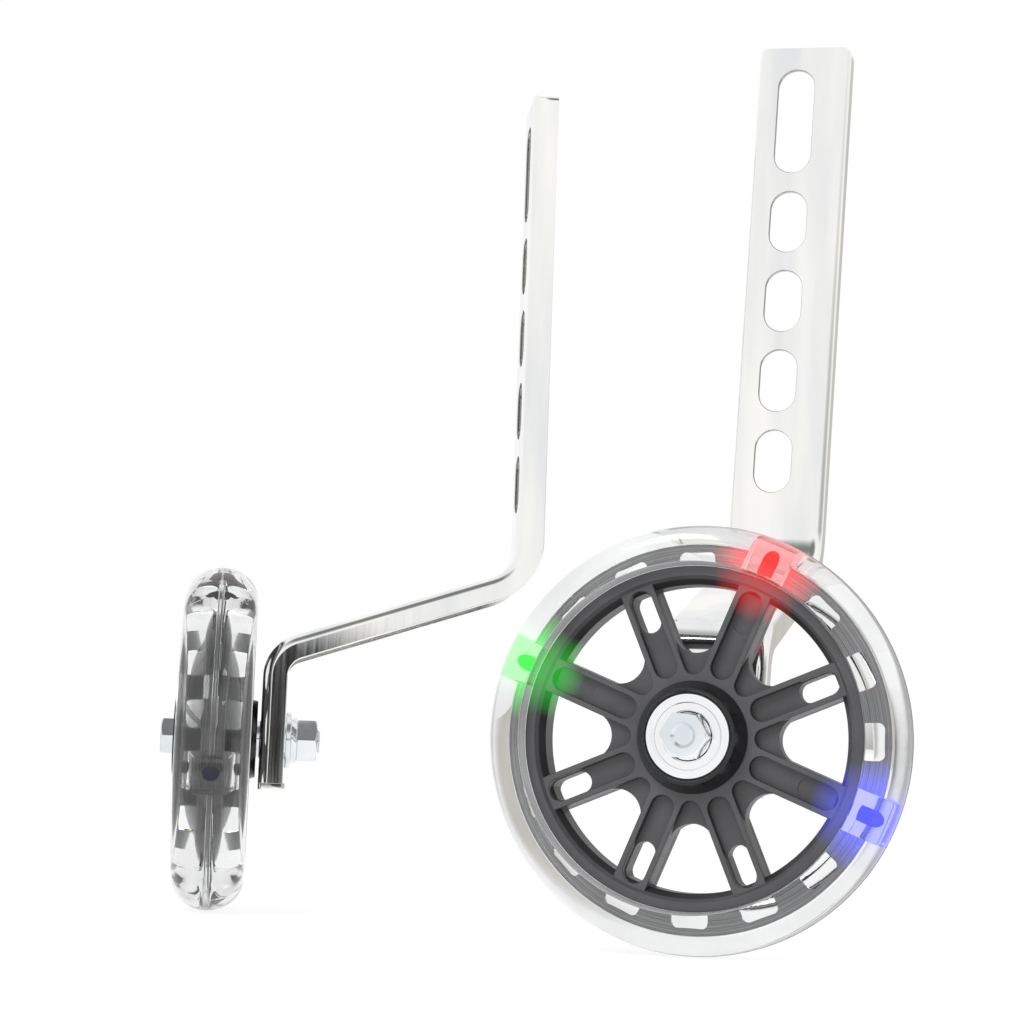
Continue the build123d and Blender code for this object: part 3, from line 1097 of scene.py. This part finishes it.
def clear_urethane(name, wheel):
    """Clear cast urethane with a faint haze and slow waves in its skin, tinted dark at the bead as painted
    shade.
    """
    made, tree, shader = material(name)
    reach, along = axle_places(tree, wheel)
    # A dark tint at the bead stands in for shade in the tyre ring: painted shade
    inward = falling(tree, reach, shoulder_radius - BEAD_FADE, shoulder_radius)
    outside = rising(tree, along, rim_half_width - BEAD_FADE, rim_half_width)
    bead = value_math(tree, "MULTIPLY", inward, outside)
    haze = noise(tree, scale=45, detail=4)
    colour = mixed(tree, bead, ramp(tree, haze, URETHANE_CLEAR), ramp(tree, haze, URETHANE_BEAD_SHADE))
    roughness = ranged(tree, haze, low=0.01, high=0.06)
    skin = bump(tree, noise(tree, scale=120, detail=2), strength=0.06, depth=0.0004)
    dress(tree, shader, Transmission_Weight=1.0, IOR=URETHANE_IOR)
    dress(tree, shader, Base_Color=colour, Roughness=roughness, Normal=skin)
    return made, tree, shader


def light_place(colour, wheel):
    """Where a colour's LED sits at rest."""
    reach = (lip_radius + led_rise + led_body) * MM
    turn = math.radians(light_angles[colour])
    return wheel @ Vector((reach * math.cos(turn), reach * math.sin(turn), 0))


def glow(tree, shader, wheel, near, far, strength):
    """Light from the three LEDs that fades with the distance from each."""
    place = here(tree)
    total = (0, 0, 0)
    for colour, tint in LIGHT_COLOURS.items():
        distance = vector_math(tree, "DISTANCE", place, light_place(colour, wheel))
        light = vector_math(tree, "SCALE", tint, scale=falling(tree, distance, near, far))
        total = vector_math(tree, "ADD", total, light)
    dress(tree, shader, Emission_Color=total, Emission_Strength=strength)


def paler(tint, base, share):
    """A tint laid thinly over grey."""
    return tuple(base + share * channel for channel in tint)


def clear_block(name, tint, shine):
    """A slightly frosted block, set in the urethane so that light hardly bends at its faces; on a lit wheel
    its tint and glow are painted light from the LED.
    """
    made, tree, shader = material(name)
    colour = (*tint, 1)
    frost = ranged(tree, noise(tree, scale=300, detail=3), low=0.05, high=0.16)
    dress(tree, shader, Transmission_Weight=1.0, IOR=BLOCK_IOR, Base_Color=colour, Roughness=frost)
    dress(tree, shader, Emission_Color=colour, Emission_Strength=shine)
    return made


def led_epoxy(name, tint, shine):
    """Tinted LED resin."""
    made, tree, shader = material(name)
    dark = tuple(channel / 2 for channel in tint)
    colour = ramp(tree, noise(tree, scale=500, detail=2), (dark, tint))
    dress(tree, shader, Base_Color=colour, Roughness=0.2, Specular_IOR_Level=0.0)
    dress(tree, shader, Emission_Color=(*tint, 1), Emission_Strength=shine)
    return made


# Placing

def joint_named(name):
    return next(joint for joint in frame["record"]["behaviour"]["joints"] if joint["name"] == name)


def stand(side):
    """A unit's own place: X across its bracket, Y inward and Z up, from its wheel's middle."""
    joint = joint_named(f"{side}_wheel_spin")
    outward = Vector(joint["axis"]).normalized()
    across = Vector((-outward.y, outward.x, 0))
    turn = Matrix((across, -outward, (0, 0, 1))).transposed().to_4x4()
    return Matrix.Translation(joint["pos_m"]) @ turn


def put(name, side, mesh, place, body, nodes, slot, made):
    """Place a copy of a mesh as a piece that stands for CAD nodes."""
    own = mesh.copy()
    own.name = f"{side}_{name}"
    own.transform(Matrix.Translation(place.translation / MM) @ place.to_3x3().to_4x4())
    own.materials.clear()
    own.materials.append(made)
    piece = in_scene(f"{side}_{name}", own)
    piece.scale = (MM, MM, MM)
    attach(piece, body)
    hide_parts(*[f"{side}_{node}" for node in nodes])


AXLE_OUTWARD = Matrix.Rotation(math.pi / 2, 4, "X")


def build_units():
    """Both units, from one set of meshes."""
    outer_ring, inner_ring = bearing_outer_ring(), bearing_inner_ring()
    finishes = ("plated_steel", "zinc_steel", "bearing_steel")
    metals = {finish: metal(finish, *METALS[finish], MM) for finish in finishes}
    lower_seat = Matrix.Rotation(math.pi, 4, "X")
    outer_end = Matrix.Translation((0, 0, bearing_face))
    inner_end = lower_seat @ outer_end
    fixed = [
        ("axle_bolt", axle_bolt(), "zinc_steel"),
        ("wheel_spacer", washer(spacer_outside, web_front, -bearing_face), "zinc_steel"),
        ("flat_washer", washer(flat_washer_outside, flat_washer_end, bush_end), "zinc_steel"),
        ("spring_washer", spring_washer(), "zinc_steel"),
        ("axle_nut", axle_nut(), "zinc_steel"),
        ("outer_bearing_inner_ring", shaded(moved(inner_ring, outer_end)), "bearing_steel"),
        ("inner_bearing_inner_ring", shaded(moved(inner_ring, inner_end)), "bearing_steel"),
    ]
    spinning = [
        ("outer_bearing_outer_ring", shaded(moved(outer_ring, outer_end)), "bearing_steel"),
        ("inner_bearing_outer_ring", shaded(moved(outer_ring, inner_end)), "bearing_steel"),
    ]
    bracket_mesh, hub_mesh, tyre_mesh = bracket(), hub(), tyre()
    block_mesh, led_mesh = light_block(), led()
    for side in SIDES:
        lit = side == lit_side
        place = stand(side)
        hung = place @ Matrix.Rotation(math.radians(bracket_swing[side]), 4, "Y")
        wheel = place @ AXLE_OUTWARD @ Matrix.Rotation(math.radians(wheel_spin[side]), 4, "Z")
        body = f"{side}_wheel"
        steel = metals["plated_steel"]
        put("bracket", side, bracket_mesh, hung, "brackets", ["bracket"], "plated_steel", steel)
        for name, mesh, slot in fixed:
            put(name, side, mesh, hung @ AXLE_OUTWARD, "brackets", [name], slot, metals[slot])
        for name, mesh, slot in spinning:
            put(name, side, mesh, wheel, body, [name], slot, metals[slot])
        plastic, tree, shader = black_plastic(f"{side}_black_plastic", wheel, tool_mark_tones_and_light[side])
        if lit:
            glow(tree, shader, wheel, *HUB_GLOW)
        put("hub", side, hub_mesh, wheel, body, ["hub"], "black_plastic", plastic)
        urethane, tree, shader = clear_urethane(f"{side}_clear_urethane", wheel)
        if lit:
            glow(tree, shader, wheel, *TYRE_GLOW)
        put("tyre", side, tyre_mesh, wheel, body, ["tyre"], "clear_urethane", urethane)
        for colour, tint in LIGHT_COLOURS.items():
            spot = wheel @ Matrix.Rotation(math.radians(light_angles[colour]), 4, "Z")
            # On the lit wheel the block's tint and glow are painted LED light
            clear = paler(tint, *LIT_BLOCK) if lit else UNLIT_BLOCK
            dyed = tint if lit else paler(tint, *UNLIT_LED)
            block = clear_block(f"{side}_{colour}_block", clear, BLOCK_SHINE if lit else 0.0)
            resin = led_epoxy(f"{side}_{colour}_resin", dyed, LED_SHINE if lit else 0.0)
            block_name = f"{colour}_light_block"
            led_name = f"{colour}_led"
            put(block_name, side, block_mesh, spot, body, [block_name], "clear_plastic", block)
            put(led_name, side, led_mesh, spot, body, [led_name], led_name, resin)


def dress_inner_nodes():
    """Give the CAD pieces that stay inside the hub and the bracket their finish."""
    finishes = {
        "channel_bush": "zinc_steel",
        "bearing_sleeve": "zinc_steel",
        "magnet_ring": "magnet",
        "generator_coil": "coil",
        "outer_bearing_balls": "bearing_steel",
        "inner_bearing_balls": "bearing_steel",
    }
    made = {finish: metal(f"inner_{finish}", *METALS[finish], 1.0) for finish in set(finishes.values())}
    for side in SIDES:
        for name, finish in finishes.items():
            for slot in frame["nodes"][f"{side}_{name}"].material_slots:
                slot.material = made[finish]


# Stage, light and camera

def add_floor():
    """A white floor under the wheels that keeps a soft shadow."""
    made, tree, shader = material("floor")
    dress(tree, shader, Base_Color=(*floor_colour, 1), Roughness=0.9, Specular_IOR_Level=0.0)
    dress(tree, shader, Emission_Color=(1, 1, 1, 1), Emission_Strength=floor_glow)
    mesh = bpy.data.meshes.new("floor")
    low = cad_box[0][2]
    corners = [(floor_reach * x, floor_reach * y, low) for x, y in ((-1, -1), (1, -1), (1, 1), (-1, 1))]
    mesh.from_pydata(corners, [], [(0, 1, 2, 3)])
    mesh.materials.append(made)
    floor = in_scene("floor", mesh)


def flat(tree, colour):
    node = tree.nodes.new("ShaderNodeRGB")
    node.outputs["Color"].default_value = (*colour, 1)
    return node.outputs["Color"]


def shade_towards(tree, direction, edge, core, shade, colour):
    """A sky colour that turns into another one towards a direction."""
    place = add(tree, "ShaderNodeTexCoord").outputs["Generated"]
    front = vector_math(tree, "DOT_PRODUCT", place, direction.normalized())
    fade = ranged(tree, front, 0.0, 1.0, edge, core)
    return mixed(tree, fade, shade, flat(tree, colour))


def add_world():
    """Soft light from all round, white for the camera, a room for metal and a backdrop for clear parts."""
    world = bpy.data.worlds.new("studio")
    world.use_nodes = True
    bpy.context.scene.world = world
    tree = world.node_tree
    soft = tree.nodes["Background"]
    dress(tree, soft, Color=(1, 1, 1, 1), Strength=soft_strength)
    path = add(tree, "ShaderNodeLightPath")
    shade = flat(tree, wall_colour)
    for direction, edge, core, colour in dark_sides:
        shade = shade_towards(tree, direction, edge, core, shade, colour)
    dim = flat(tree, backdrop_shade)
    ahead = shade_towards(tree, backdrop_direction, backdrop_edge, backdrop_core, dim, (1, 1, 1))
    room = add(tree, "ShaderNodeBackground", Color=shade, Strength=1.0)
    through = add(tree, "ShaderNodeBackground", Color=ahead, Strength=1.0)
    white = add(tree, "ShaderNodeBackground", Color=(1, 1, 1, 1), Strength=1.0)
    shader = soft.outputs["Background"]
    seen_as = {"Is Camera Ray": white, "Is Transmission Ray": through, "Is Glossy Ray": room}
    for ray, background in seen_as.items():
        mix = add(tree, "ShaderNodeMixShader")
        link(tree, path.outputs[ray], mix.inputs["Fac"])
        link(tree, shader, mix.inputs[1])
        link(tree, background.outputs["Background"], mix.inputs[2])
        shader = mix.outputs["Shader"]
    link(tree, shader, tree.nodes["World Output"].inputs["Surface"])


def add_lamp(name, place, power):
    """A soft round lamp that lights the part but isn't mirrored in it."""
    lamp = bpy.data.lights.new(name, "AREA")
    lamp.shape = "DISK"
    lamp.size = lamp_size
    lamp.energy = power
    holder = in_scene(name, lamp)
    holder.location = place
    holder.visible_glossy = False
    holder.rotation_euler = (Vector(lamp_target) - Vector(place)).to_track_quat("-Z", "Y").to_euler()


def add_camera():
    """The photograph's view: from low in front, looking slightly up."""
    place = Vector(joint_named("left_wheel_spin")["pos_m"]) + camera_offset * MM
    data = bpy.data.cameras.new("camera")
    data.lens = data.sensor_width * focal_length_px / image_size_px
    camera = in_scene("camera", data)
    aim = Matrix.Rotation(camera_turn, 4, "Z") @ Matrix.Rotation(math.pi / 2 + camera_rise, 4, "X")
    camera.matrix_world = Matrix.Translation(place) @ aim @ Matrix.Rotation(camera_roll, 4, "Z")
    bpy.context.scene.camera = camera


build_units()
dress_inner_nodes()
add_floor()
add_world()
for lamp_name, (lamp_place, lamp_power) in lamps.items():
    add_lamp(lamp_name, lamp_place, lamp_power)
add_camera()
bpy.context.scene.view_settings.view_transform = "Standard"
